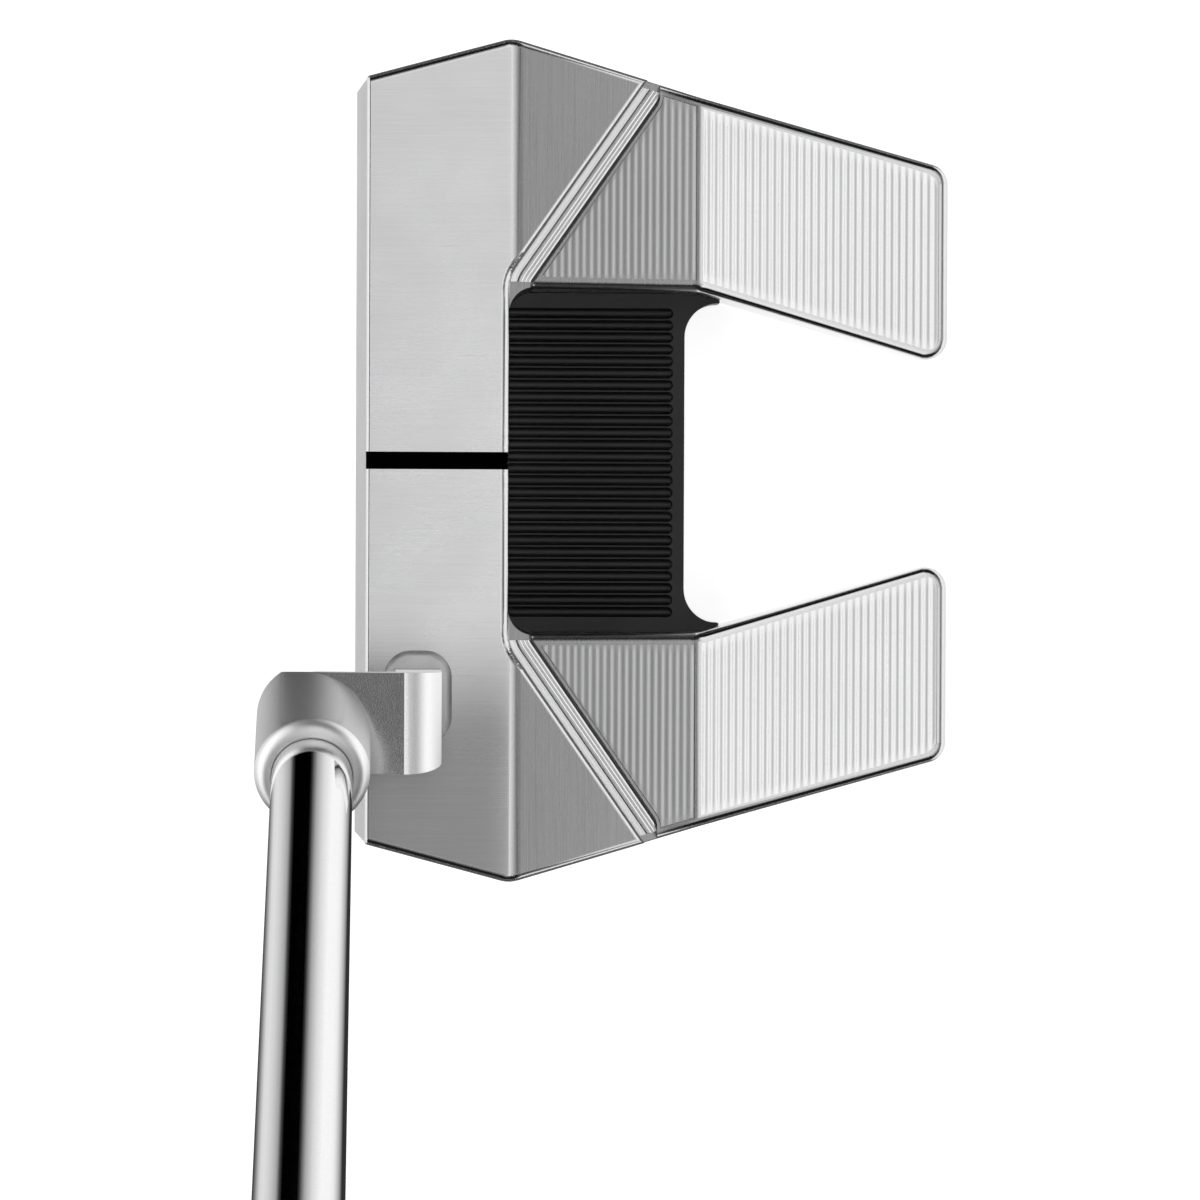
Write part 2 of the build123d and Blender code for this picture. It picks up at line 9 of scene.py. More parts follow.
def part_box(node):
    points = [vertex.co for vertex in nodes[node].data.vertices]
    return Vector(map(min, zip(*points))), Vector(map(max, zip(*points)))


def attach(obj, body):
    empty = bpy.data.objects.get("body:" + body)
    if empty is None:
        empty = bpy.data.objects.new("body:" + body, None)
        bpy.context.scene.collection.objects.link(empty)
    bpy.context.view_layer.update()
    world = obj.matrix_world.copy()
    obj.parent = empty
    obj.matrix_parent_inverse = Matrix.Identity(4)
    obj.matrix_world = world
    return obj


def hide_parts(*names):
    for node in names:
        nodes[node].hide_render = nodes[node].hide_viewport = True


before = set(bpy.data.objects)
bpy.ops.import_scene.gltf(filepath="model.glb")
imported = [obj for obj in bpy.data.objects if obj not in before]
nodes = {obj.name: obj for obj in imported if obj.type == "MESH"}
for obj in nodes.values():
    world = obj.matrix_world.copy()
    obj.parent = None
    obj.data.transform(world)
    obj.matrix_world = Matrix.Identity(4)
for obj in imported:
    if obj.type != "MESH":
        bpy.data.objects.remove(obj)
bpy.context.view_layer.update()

mm = 0.001
topLineY = -26.0  # mm; in the notes below Y is counted from the top line
print("frame loaded:", len(nodes), "nodes")


def addPiece(name, mesh, slot, *replaced):
    piece = bpy.data.objects.new(name, mesh)
    bpy.context.scene.collection.objects.link(piece)
    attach(piece, "root")
    if replaced:
        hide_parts(*replaced)
    return piece


def quadMesh(name, points, quads, tris=None):
    # signed volume = a sixth of the sum of corner . (corner x corner); negative means inside out
    a, b, c, d = (points[quads[:, i]] for i in range(4))
    volume = np.sum(a * np.cross(b, c)) + np.sum(a * np.cross(c, d))
    faces = quads.tolist()
    if tris is not None and len(tris):
        e, f, g = (points[tris[:, i]] for i in range(3))
        volume += np.sum(e * np.cross(f, g))
        faces += tris.tolist()
    if volume < 0:
        faces = [face[::-1] for face in faces]
    mesh = bpy.data.meshes.new(name)
    mesh.from_pydata(points.tolist(), [], faces)
    mesh.update()
    return mesh


def gridQuads(rows, cols, wrap):
    # cell (i, j) joins the points (i, j), (i, j + 1), (i + 1, j + 1), (i + 1, j)
    i, j = np.meshgrid(np.arange(rows - 1), np.arange(cols if wrap else cols - 1), indexing="ij")
    k = (j + 1) % cols
    here, beyond = i * cols, (i + 1) * cols
    return np.stack([here + j, here + k, beyond + k, beyond + j], axis=-1).reshape(-1, 4)


def tubeMesh(name, rings):
    # rings of points along a path, closed round and shut at both ends by fans to their middles
    rows, cols, _ = rings.shape
    middles = rings[[0, -1]].mean(axis=1)
    points = np.concatenate([rings.reshape(-1, 3), middles])
    j = np.arange(cols)
    k = (j + 1) % cols
    last = (rows - 1) * cols
    first = np.stack([np.full(cols, rows * cols), k, j], axis=-1)
    end = np.stack([np.full(cols, rows * cols + 1), last + j, last + k], axis=-1)
    return quadMesh(name, points, gridQuads(rows, cols, True), np.concatenate([first, end]))


def slabMesh(name, top, bottom):
    # two grids of the same size, one over the other, joined round their edges
    rows, cols, _ = top.shape
    points = np.concatenate([top.reshape(-1, 3), bottom.reshape(-1, 3)])
    upper = gridQuads(rows, cols, False)
    half = rows * cols
    index = np.arange(half).reshape(rows, cols)
    loop = np.concatenate([index[0], index[1:, -1], index[-1, -2::-1], index[-2:0:-1, 0]])
    after = np.roll(loop, -1)
    walls = np.stack([after, loop, loop + half, after + half], axis=-1)
    return quadMesh(name, points, np.concatenate([upper, upper[:, ::-1] + half, walls]))


def placed(x, y, z):
    return np.stack(np.broadcast_arrays(x, y + topLineY, z), axis=-1) * mm


def shadeRound(mesh, sharp):
    mesh.shade_smooth()
    mesh.set_sharp_from_angle(angle=math.radians(sharp))


def smoothCopy(node, name, slot, sharp=28.0):
    # the CAD mesh with its loose triangles joined, so that round edges shade smoothly
    mesh = nodes[node].data.copy()
    mesh.name = name
    mesh.materials.clear()
    work = bmesh.new()
    work.from_mesh(mesh)
    bmesh.ops.remove_doubles(work, verts=work.verts, dist=2e-6)
    work.to_mesh(mesh)
    work.free()
    if mesh.attributes.get("custom_normal"):
        mesh.attributes.remove(mesh.attributes["custom_normal"])
    shadeRound(mesh, sharp)
    piece = addPiece(name, mesh, slot, node)
    weighted = piece.modifiers.new("flatFaces", "WEIGHTED_NORMAL")
    weighted.mode = "FACE_AREA"
    weighted.weight = 100
    weighted.keep_sharp = True
    return piece


# effects that several finishes share, each a node group
def newGroup(name, inputs, outputs):
    group = bpy.data.node_groups.new(name, "ShaderNodeTree")
    for label, kind, value in inputs:
        socket = group.interface.new_socket(name=label, in_out="INPUT", socket_type=kind)
        socket.default_value = value
    for label, kind in outputs:
        group.interface.new_socket(name=label, in_out="OUTPUT", socket_type=kind)
    return group, group.nodes.new("NodeGroupInput"), group.nodes.new("NodeGroupOutput")


def mathNode(tree, operation, *values):
    node = tree.nodes.new("ShaderNodeMath")
    node.operation = operation
    for socket, value in zip(node.inputs, values):
        if isinstance(value, (int, float)):
            socket.default_value = value
        else:
            tree.links.new(value, socket)
    return node.outputs[0]


def scaled(tree, vector, factor):
    node = tree.nodes.new("ShaderNodeVectorMath")
    node.operation = "MULTIPLY"
    tree.links.new(vector, node.inputs[0])
    if isinstance(factor, tuple):
        node.inputs[1].default_value = factor
    else:
        tree.links.new(factor, node.inputs[1])
    return node.outputs[0]


def noiseValue(tree, vector, scale, detail=2.0, rough=0.5):
    node = tree.nodes.new("ShaderNodeTexNoise")
    node.inputs["Scale"].default_value = scale
    node.inputs["Detail"].default_value = detail
    node.inputs["Roughness"].default_value = rough
    tree.links.new(vector, node.inputs["Vector"])
    return node.outputs["Fac"]


def remap(tree, value, low, high, newLow, newHigh):
    node = tree.nodes.new("ShaderNodeMapRange")
    tree.links.new(value, node.inputs["Value"])
    for label, number in (("From Min", low), ("From Max", high), ("To Min", newLow), ("To Max", newHigh)):
        node.inputs[label].default_value = number
    return node.outputs["Result"]


def rampNode(tree, value, low, high, stops, top):
    # stops are (place, brightness); the ramp holds brightness as a share of top
    node = tree.nodes.new("ShaderNodeValToRGB")
    elements = node.color_ramp.elements
    while len(elements) > 1:
        elements.remove(elements[-1])
    for i, (at, level) in enumerate(stops):
        spot = (at - low) / (high - low)
        element = elements[0] if i == 0 else elements.new(spot)
        element.position = spot
        element.color = (level / top, level / top, level / top, 1)
    tree.links.new(remap(tree, value, low, high, 0.0, 1.0), node.inputs["Fac"])
    return mathNode(tree, "MULTIPLY", node.outputs["Color"], top)


def makeToolLines():
    # cutter lines: noise drawn out along one axis by a stretched position
    group, start, end = newGroup(
        "toolLines",
        [("Position", "NodeSocketVector", (0, 0, 0)), ("Stretch", "NodeSocketVector", (1, 1, 1))],
        [("Height", "NodeSocketFloat"), ("Shade", "NodeSocketFloat")],
    )
    drawn = scaled(group, start.outputs["Position"], start.outputs["Stretch"])
    coarse = noiseValue(group, drawn, 1.0, 3.0, 0.6)
    fine = noiseValue(group, drawn, 3.1, 2.0, 0.7)
    height = mathNode(group, "ADD", mathNode(group, "MULTIPLY", coarse, 0.6),
                      mathNode(group, "MULTIPLY", fine, 0.4))
    group.links.new(height, end.inputs["Height"])
    group.links.new(remap(group, height, 0.3, 0.7, 0.0, 1.0), end.inputs["Shade"])
    return group


wear = {
    # hand marks: sizes and shares of two noises, where the haze starts and fills, and the scratches
    "cloud": 38.0, "cloudShare": 0.7, "prints": 170.0, "printsShare": 0.3, "hazeRange": (0.35, 0.68),
    "scratchStretch": (2600.0, 90.0, 900.0), "scratchRange": (0.74, 0.8),
}


def makeHandling():
    # smudges from hands and a faint haze, with a few fine random scratches
    group, start, end = newGroup(
        "handlingMarks",
        [("Position", "NodeSocketVector", (0, 0, 0)), ("Amount", "NodeSocketFloat", 1.0)],
        [("Haze", "NodeSocketFloat"), ("Scratches", "NodeSocketFloat")],
    )
    position = start.outputs["Position"]
    cloud = noiseValue(group, position, wear["cloud"], 3.0, 0.55)
    prints = noiseValue(group, position, wear["prints"], 2.0, 0.5)
    both = mathNode(group, "ADD", mathNode(group, "MULTIPLY", cloud, wear["cloudShare"]),
                    mathNode(group, "MULTIPLY", prints, wear["printsShare"]))
    filled = remap(group, both, *wear["hazeRange"], 0.0, 1.0)
    haze = mathNode(group, "MULTIPLY", filled, start.outputs["Amount"])
    group.links.new(haze, end.inputs["Haze"])
    drawn = scaled(group, position, wear["scratchStretch"])
    thin = remap(group, noiseValue(group, drawn, 1.0, 1.0, 0.5), *wear["scratchRange"], 0.0, 1.0)
    scratch = mathNode(group, "MULTIPLY", thin, start.outputs["Amount"])
    group.links.new(scratch, end.inputs["Scratches"])
    return group


def makeBlast():
    # the dimpled skin that blasting or a satin plating leaves, or a mould's fine texture
    group, start, end = newGroup(
        "fineDimples",
        [("Position", "NodeSocketVector", (0, 0, 0)), ("Scale", "NodeSocketFloat", 9000.0)],
        [("Height", "NodeSocketFloat"), ("Shade", "NodeSocketFloat")],
    )
    grain = group.nodes.new("ShaderNodeTexNoise")
    grain.inputs["Detail"].default_value = 2.0
    group.links.new(start.outputs["Position"], grain.inputs["Vector"])
    group.links.new(start.outputs["Scale"], grain.inputs["Scale"])
    group.links.new(grain.outputs["Fac"], end.inputs["Height"])
    group.links.new(remap(group, grain.outputs["Fac"], 0.3, 0.7, 0.0, 1.0), end.inputs["Shade"])
    return group


def makeTurning():
    # rings round the middle, as a lathe leaves: sine of the distance from the axis
    group, start, end = newGroup(
        "turnedRings",
        [("Position", "NodeSocketVector", (0, 0, 0)), ("Rings", "NodeSocketFloat", 12000.0)],
        [("Height", "NodeSocketFloat")],
    )
    flat = scaled(group, start.outputs["Position"], (1.0, 1.0, 0.0))
    length = group.nodes.new("ShaderNodeVectorMath")
    length.operation = "LENGTH"
    group.links.new(flat, length.inputs[0])
    turns = mathNode(group, "MULTIPLY", length.outputs["Value"], start.outputs["Rings"])
    wave = mathNode(group, "SINE", turns)
    group.links.new(mathNode(group, "MULTIPLY_ADD", wave, 0.5, 0.5), end.inputs["Height"])
    return group


toolLines = makeToolLines()
handlingMarks = makeHandling()
fineDimples = makeBlast()
turnedRings = makeTurning()
print("shared node groups made")


def grouped(tree, group, **values):
    node = tree.nodes.new("ShaderNodeGroup")
    node.node_tree = group
    for label, value in values.items():
        if isinstance(value, (int, float, tuple)):
            node.inputs[label].default_value = value
        else:
            tree.links.new(value, node.inputs[label])
    return node.outputs


def makeFinish(name, look):
    # one material: a base colour shaded by its lines and haze, a roughness that varies, and a bump
    material = bpy.data.materials.new(name)
    material.use_nodes = True
    tree = material.node_tree
    shader = tree.nodes["Principled BSDF"]
    place = tree.nodes.new("ShaderNodeTexCoord").outputs["Object"]
    if "centre" in look:
        move = tree.nodes.new("ShaderNodeMapping")
        move.inputs["Location"].default_value = tuple(-v for v in look["centre"])
        tree.links.new(place, move.inputs["Vector"])
        place = move.outputs["Vector"]
    handling = grouped(tree, handlingMarks, Position=place, Amount=look.get("handling", 0.6))
    dimples = grouped(tree, fineDimples, Position=place, Scale=look.get("dimples", 9000.0))
    if "lines" in look:
        marks = grouped(tree, toolLines, Position=place, Stretch=look["lines"])
        height, shade = marks["Height"], marks["Shade"]
    elif "rings" in look:
        height = grouped(tree, turnedRings, Position=place, Rings=look["rings"])["Height"]
        shade = height
    else:
        height, shade = dimples["Height"], dimples["Shade"]

    tone = tree.nodes.new("ShaderNodeMix")
    tone.data_type = "RGBA"
    tone.inputs["A"].default_value = (*look["dark"], 1.0)
    tone.inputs["B"].default_value = (*look["light"], 1.0)
    tree.links.new(shade, tone.inputs["Factor"])
    hazed = tree.nodes.new("ShaderNodeMix")
    hazed.data_type = "RGBA"
    hazed.inputs["B"].default_value = (*look["haze"], 1.0)
    hazeShare = mathNode(tree, "MULTIPLY", handling["Haze"], look.get("hazeShare", 0.2))
    tree.links.new(hazeShare, hazed.inputs["Factor"])
    tree.links.new(tone.outputs["Result"], hazed.inputs["A"])
    tree.links.new(hazed.outputs["Result"], shader.inputs["Base Color"])

    rough = mathNode(tree, "MULTIPLY_ADD", handling["Haze"], look["roughSpread"], look["rough"])
    rough = mathNode(tree, "MULTIPLY_ADD", handling["Scratches"], look["roughSpread"], rough)
    rough = mathNode(tree, "MULTIPLY_ADD", shade, look["roughSpread"] * 0.5, rough)
    tree.links.new(rough, shader.inputs["Roughness"])

    depth = mathNode(tree, "ADD", mathNode(tree, "MULTIPLY", height, look.get("lineShare", 1.0)),
                     mathNode(tree, "MULTIPLY", dimples["Height"], look.get("dimpleShare", 0.3)))
    bump = tree.nodes.new("ShaderNodeBump")
    bump.inputs["Strength"].default_value = look.get("bump", 0.4)
    bump.inputs["Distance"].default_value = look.get("bumpDepth", 0.00002)
    tree.links.new(depth, bump.inputs["Height"])
    tree.links.new(bump.outputs["Normal"], shader.inputs["Normal"])

    shader.inputs["Metallic"].default_value = look.get("metal", 1.0)
    shader.inputs["Specular IOR Level"].default_value = look.get("specular", 0.5)
    if "coat" in look:
        shader.inputs["Coat Weight"].default_value = look["coat"]
        shader.inputs["Coat Roughness"].default_value = look.get("coatRough", 0.08)
    return material


finishes = {
    # lines gives the stretch of the cutter lines: large numbers are across them, small ones along
    "deckAlloy": dict(dark=(0.62, 0.62, 0.63), light=(0.72, 0.72, 0.725), haze=(0.6, 0.6, 0.6), rough=0.25,
                      roughSpread=0.06, lines=(5200.0, 60.0, 900.0), bump=0.25),
    "facetAlloy": dict(dark=(0.6, 0.6, 0.61), light=(0.7, 0.7, 0.705), haze=(0.58, 0.58, 0.58), rough=0.24,
                       roughSpread=0.06, lines=(60.0, 5200.0, 900.0), bump=0.3),
    "faceAlloy": dict(dark=(0.24, 0.24, 0.245), light=(0.31, 0.31, 0.31), haze=(0.24, 0.24, 0.24), rough=0.3,
                      roughSpread=0.08, lines=(2100.0, 900.0, 2100.0), bump=0.9, bumpDepth=0.00006),
    "bodyAlloy": dict(dark=(0.6, 0.6, 0.61), light=(0.69, 0.69, 0.695), haze=(0.57, 0.57, 0.57), rough=0.13,
                      roughSpread=0.05, dimples=7000.0, bump=0.12),
    "soleAlloy": dict(dark=(0.57, 0.57, 0.58), light=(0.67, 0.67, 0.675), haze=(0.5, 0.5, 0.5), rough=0.28,
                      roughSpread=0.12, lines=(60.0, 3600.0, 900.0), handling=1.0, hazeShare=0.35, bump=0.35),
    "ridgeAlloy": dict(dark=(0.72, 0.72, 0.73), light=(0.82, 0.82, 0.825), haze=(0.7, 0.7, 0.7), rough=0.22,
                       roughSpread=0.06, lines=(70.0, 6500.0, 900.0), bump=0.2),
    # the ridge alloy with its base colour raised: painted light for the overhead light the wings mirror
    "wingAlloyPaintedLight": dict(dark=(0.78, 0.78, 0.785), light=(0.87, 0.87, 0.87), haze=(0.78, 0.78, 0.78), rough=0.2,
                      roughSpread=0.05, lines=(70.0, 6500.0, 900.0), bump=0.2),
    "neckSteel": dict(dark=(0.64, 0.64, 0.64), light=(0.74, 0.74, 0.74), haze=(0.6, 0.6, 0.6), rough=0.5,
                      roughSpread=0.06, dimples=6000.0, bump=0.15),
    "armSteel": dict(dark=(0.62, 0.62, 0.62), light=(0.72, 0.72, 0.72), haze=(0.6, 0.6, 0.6), rough=0.14,
                     roughSpread=0.06, dimples=6000.0, bump=0.15),
    # near-white satin steel: a painted highlight on the pocket's wall, the hosel's rim and the arm's bend
    "satinPaintedHighlight": dict(dark=(0.9, 0.9, 0.9), light=(0.97, 0.97, 0.97), haze=(0.85, 0.85, 0.85), rough=0.42,
                        roughSpread=0.06, dimples=6000.0, bump=0.15),
    # near-white rough alloy for the cove's quarter round: a painted highlight
    "covePaintedHighlight": dict(dark=(0.93, 0.93, 0.93), light=(0.98, 0.98, 0.98), haze=(0.9, 0.9, 0.9), rough=0.58,
                      roughSpread=0.06, dimples=6000.0, bump=0.15),
    # near-black alloy for the step walls and the cove's dark lines: painted shade
    "stepPaintedShade": dict(dark=(0.1, 0.1, 0.102), light=(0.17, 0.17, 0.172), haze=(0.14, 0.14, 0.14), rough=0.3,
                      roughSpread=0.08, lines=(900.0, 900.0, 5200.0), bump=0.3),
    "flangeAnodised": dict(dark=(0.003, 0.003, 0.0032), light=(0.008, 0.008, 0.0085),
                           haze=(0.014, 0.014, 0.014), rough=0.36, roughSpread=0.12, dimples=8000.0, bump=0.3,
                           metal=0.0, specular=0.5),
    "sightEnamel": dict(dark=(0.0004, 0.0004, 0.0004), light=(0.001, 0.001, 0.001),
                        haze=(0.002, 0.002, 0.002), rough=0.6, roughSpread=0.1, dimples=5000.0, bump=0.3,
                        metal=0.0, specular=0.0),
    "screwSteel": dict(dark=(0.24, 0.24, 0.25), light=(0.36, 0.36, 0.37), haze=(0.3, 0.3, 0.3), rough=0.3,
                       roughSpread=0.1, dimples=9000.0),
    "shaftChrome": dict(dark=(0.86, 0.86, 0.87), light=(0.9, 0.9, 0.905), haze=(0.8, 0.8, 0.8), rough=0.035,
                        roughSpread=0.03, dimples=3000.0, bump=0.02, hazeShare=0.1),
    "gripRubber": dict(dark=(0.012, 0.012, 0.012), light=(0.022, 0.022, 0.022), haze=(0.035, 0.034, 0.033),
                       rough=0.62, roughSpread=0.15, dimples=5200.0, bump=0.6, bumpDepth=0.00008, metal=0.0,
                       specular=0.35, handling=1.0),
    "capRubber": dict(dark=(0.01, 0.01, 0.01), light=(0.018, 0.018, 0.018), haze=(0.03, 0.03, 0.03),
                      rough=0.45, roughSpread=0.15, dimples=5200.0, bump=0.4, metal=0.0, specular=0.4),
    "plugPlastic": dict(dark=(0.62, 0.59, 0.46), light=(0.72, 0.69, 0.56), haze=(0.6, 0.56, 0.45), rough=0.5,
                        roughSpread=0.15, dimples=2200.0, bump=0.3, metal=0.0),
    "crepeTape": dict(dark=(0.56, 0.5, 0.36), light=(0.68, 0.62, 0.46), haze=(0.5, 0.45, 0.33), rough=0.75,
                      roughSpread=0.15, dimples=2600.0, bump=0.7, bumpDepth=0.0001, metal=0.0, specular=0.3),
}
materials = {name: makeFinish(name, look) for name, look in finishes.items()}
print("finishes made:", len(materials))


def faceArrays(mesh):
    # the normal and the middle (in mm) of each face
    arrays = []
    for label in ("normal", "center"):
        values = np.empty(len(mesh.polygons) * 3)
        mesh.polygons.foreach_get(label, values)
        arrays.append(values.reshape(-1, 3))
    return arrays[0], arrays[1] / mm


head = {
    "height": 25.0, "facetStart": 18.0, "facetEnd": 40.5, "facetDrop": 8.2, "wingSlope": 3.0,
    "widestHalf": 50.95, "widestY": 17.4, "wingEndHalf": 36.1, "wingGapHalf": 11.8, "cavityHalf": 20.9,
    "depth": 71.05, "deckDepth": 17.2, "stepX": 22.2, "stepAngle": 55.2, "stepTurn": 5.0, "stepDrop": 1.5,
    "grooveDrop": 0.45, "grooveWidth": 2.8, "grooveInset": 2.2, "cornerR": 2.4, "wingCorner": 1.45,
    "rim": 1.15,
}
dress = {
    # how the head's faces are told apart: shares of the unit normal, and places in mm
    "flat": 0.999, "deckOver": 24.0, "facetUp": (0.9, 0.97), "facetBack": 0.2, "face": -0.99, "sole": -0.95,
    "wall": 0.55, "wallInwards": 0.25, "wallY": (17, 41), "wallOver": 14.0,
    "pocketX": (22, 42), "pocketY": (1, 17), "pocketZ": (23.5, 24.99),
}


def within(values, limits):
    return (values > limits[0]) & (values < limits[1])


def dressHead():
    # each face of the head takes the finish of the cut that made it, told by its normal and its place; the
    # step walls take a painted shade and the pocket's wall a painted highlight
    piece = smoothCopy("head_body", "head_shell", "head_alloy")
    mesh = piece.data
    cuts = ("bodyAlloy", "deckAlloy", "facetAlloy", "faceAlloy", "soleAlloy", "stepPaintedShade", "satinPaintedHighlight")
    for name in cuts:
        mesh.materials.append(materials[name])
    normal, centre = faceArrays(mesh)
    x, y, z = centre[:, 0], centre[:, 1] - topLineY, centre[:, 2]
    up = normal[:, 2]
    index = np.zeros(len(normal), dtype=np.int32)
    index[(up > dress["flat"]) & (z > dress["deckOver"])] = cuts.index("deckAlloy")
    index[within(up, dress["facetUp"]) & (normal[:, 1] > dress["facetBack"])] = cuts.index("facetAlloy")
    index[normal[:, 1] < dress["face"]] = cuts.index("faceAlloy")
    index[up < dress["sole"]] = cuts.index("soleAlloy")
    # the walls that drop from the front facets to the grooves face rearwards and inwards; they take a
    # near-black painted shade
    angle = math.radians(head["stepAngle"])
    inwards = -np.sign(x) * normal[:, 0]
    wall = math.cos(angle) * inwards + math.sin(angle) * normal[:, 1] > dress["wall"]
    wall &= (inwards > dress["wallInwards"]) & within(y, dress["wallY"]) & (z > dress["wallOver"])
    index[wall] = cuts.index("stepPaintedShade")
    # the wall of the pocket round the neck's foot takes a painted highlight
    pocket = within(x, dress["pocketX"]) & within(y, dress["pocketY"]) & within(z, dress["pocketZ"])
    index[pocket] = cuts.index("satinPaintedHighlight")
    mesh.polygons.foreach_set("material_index", index)


dressHead()

ridges = {
    "pitch": 0.9,       # from ridge to ridge
    "facetHeight": 0.017,
    "wingHeight": 0.032,
    "sink": 0.05,       # ridge tops lie this far under the rim
    "gap": 0.14,        # thin dark line between a panel and its rim
    "perRidge": 8,      # rows of points for each ridge
    "endShare": 0.4,    # a ridge sinks to this share of its height at both ends
    "endRate": 16,      # and does so over one part in this many of its length
    "under": 0.3,       # the panel's underside is this far under the rim
    "startInset": 0.3,  # the facet's first ridge starts this far out from its inner edge
    "across": 60,
}
sideSlope = (head["widestHalf"] - head["wingEndHalf"]) / (head["depth"] - head["widestY"])
innerSlope = (head["cavityHalf"] - head["wingGapHalf"]) / (head["depth"] - head["facetEnd"])
facetSlope = head["facetDrop"] / (head["facetEnd"] - head["facetStart"])


def upperZ(y, drop):
    # the sloped facet as far as its crease, then the flatter wing
    facet = head["height"] - drop - facetSlope * (np.minimum(y, head["facetEnd"]) - head["facetStart"])
    return facet - math.tan(math.radians(head["wingSlope"])) * np.maximum(y - head["facetEnd"], 0)


def outerX(y, inset):
    return head["widestHalf"] - sideSlope * (y - head["widestY"]) - inset * math.hypot(1, sideSlope)


def innerX(y, inset):
    behind = np.maximum(y - head["facetEnd"], 0)
    return head["cavityHalf"] - innerSlope * behind + inset * math.hypot(1, innerSlope)


def stepX(y, offset):
    angle = math.radians(head["stepAngle"])
    return head["stepX"] + math.tan(angle) * (y - head["deckDepth"]) - offset / math.cos(angle)


def ridgePanel(name, side, y, left, right, high, finish):
    # rows of ridges parallel to the face: height follows a raised cosine of Y and dies out at both ends
    across = np.linspace(0, 1, ridges["across"])
    toEnd = np.clip(np.minimum(across, 1 - across) * ridges["endRate"], 0, 1)
    ends = (0.5 - 0.5 * np.cos(np.pi * toEnd)) * (1 - ridges["endShare"]) + ridges["endShare"]
    x = left[:, None] + (right - left)[:, None] * across[None, :]
    wave = 0.5 + 0.5 * np.cos(2 * np.pi * (y - head["facetEnd"]) / ridges["pitch"])
    drop = head["stepDrop"] + ridges["sink"] + high * (1 - wave[:, None] * ends[None, :])
    z = upperZ(y, 0)[:, None] - drop
    yGrid = np.broadcast_to(y[:, None], x.shape)
    top = placed(side * x, yGrid, z)
    bottom = placed(side * x, yGrid, upperZ(y, head["stepDrop"] + ridges["under"])[:, None] + 0 * x)
    mesh = slabMesh(name, top, bottom)
    shadeRound(mesh, 50)
    mesh.materials.append(materials[finish])
    addPiece(name, mesh, "head_alloy")


def makeRidgePanels():
    gap = ridges["gap"]
    inset = head["rim"] + gap
    offset = head["grooveWidth"] + head["rim"] / 4 + gap
    angle = math.radians(head["stepAngle"])
    crease = head["rim"] / 4 + gap
    # the facet's front edge follows the step, then turns outwards round an arc at y = turnY
    lineX = stepX(0, offset - gap)
    apart = head["widestHalf"] - head["grooveInset"] + sideSlope * head["widestY"] - lineX
    turnY = apart / (math.tan(angle) + sideSlope) + gap
    r = head["cornerR"] + gap
    arcX = stepX(turnY - r, offset) + r / math.cos(angle)
    inner = head["cavityHalf"] + inset * math.hypot(1, innerSlope)
    startX = inner + ridges["startInset"] - head["stepX"] + offset / math.cos(angle)
    start = head["deckDepth"] + startX / math.tan(angle)
    step = ridges["pitch"] / ridges["perRidge"]
    y = np.arange(start, head["facetEnd"] - crease, step)
    onArc = y > turnY - r + r * math.sin(angle)
    arc = arcX - np.sqrt(np.maximum(r * r - (y - (turnY - r)) ** 2, 0))
    right = np.where(onArc, arc, stepX(y, offset))
    right = np.where(y > turnY, outerX(y, inset), right)
    left = np.full_like(y, inner)
    back = head["depth"] - inset
    yWing = np.arange(head["facetEnd"] + crease, back, step)
    corner = head["wingCorner"]
    into = np.clip(yWing - (back - corner), 0, corner)
    turned = corner - np.sqrt(corner ** 2 - into ** 2)
    for side, word in ((-1, "toe"), (1, "heel")):
        ridgePanel("facet_ridges_" + word, side, y, left, right, ridges["facetHeight"], "ridgeAlloy")
        leftWing = innerX(yWing, inset) + turned
        rightWing = outerX(yWing, inset) - turned
        ridgePanel("wing_ridges_" + word, side, yWing, leftWing, rightWing, ridges["wingHeight"], "wingAlloyPaintedLight")


cove = {
    "r": 0.75,          # round between the step's wall and the groove
    "start": 0.75,      # from the cavity's edge
    "endInset": 0.95,   # from the outer edge
    "width": 2.72,
    "line": 0.11,       # depth of the fine line at the cove's foot
    "lineAt": 0.12,     # from the cove's foot to the line's middle
    "lineHalf": 0.1,
    "lineShade": 0.8,   # share of the line's width that takes the painted shade
    "rowGap": 0.02,     # from the cove's foot to the first flat row
    "ribsFrom": 0.3,    # from the cove's foot to the first rib
    "ribs": 3,
    "ribHeight": 0.045,
    "lift": 0.14,       # the ribs' feet lie this far over the groove's floor
    "edge": 0.38,       # V along the ridged panel, a real dip that also takes a painted shade
    "edgeDepth": 0.1,
    "under": 0.25,      # the piece's underside is this far under the groove's floor
    "steps": 90, "roundRows": 12, "flatRows": 70,
}


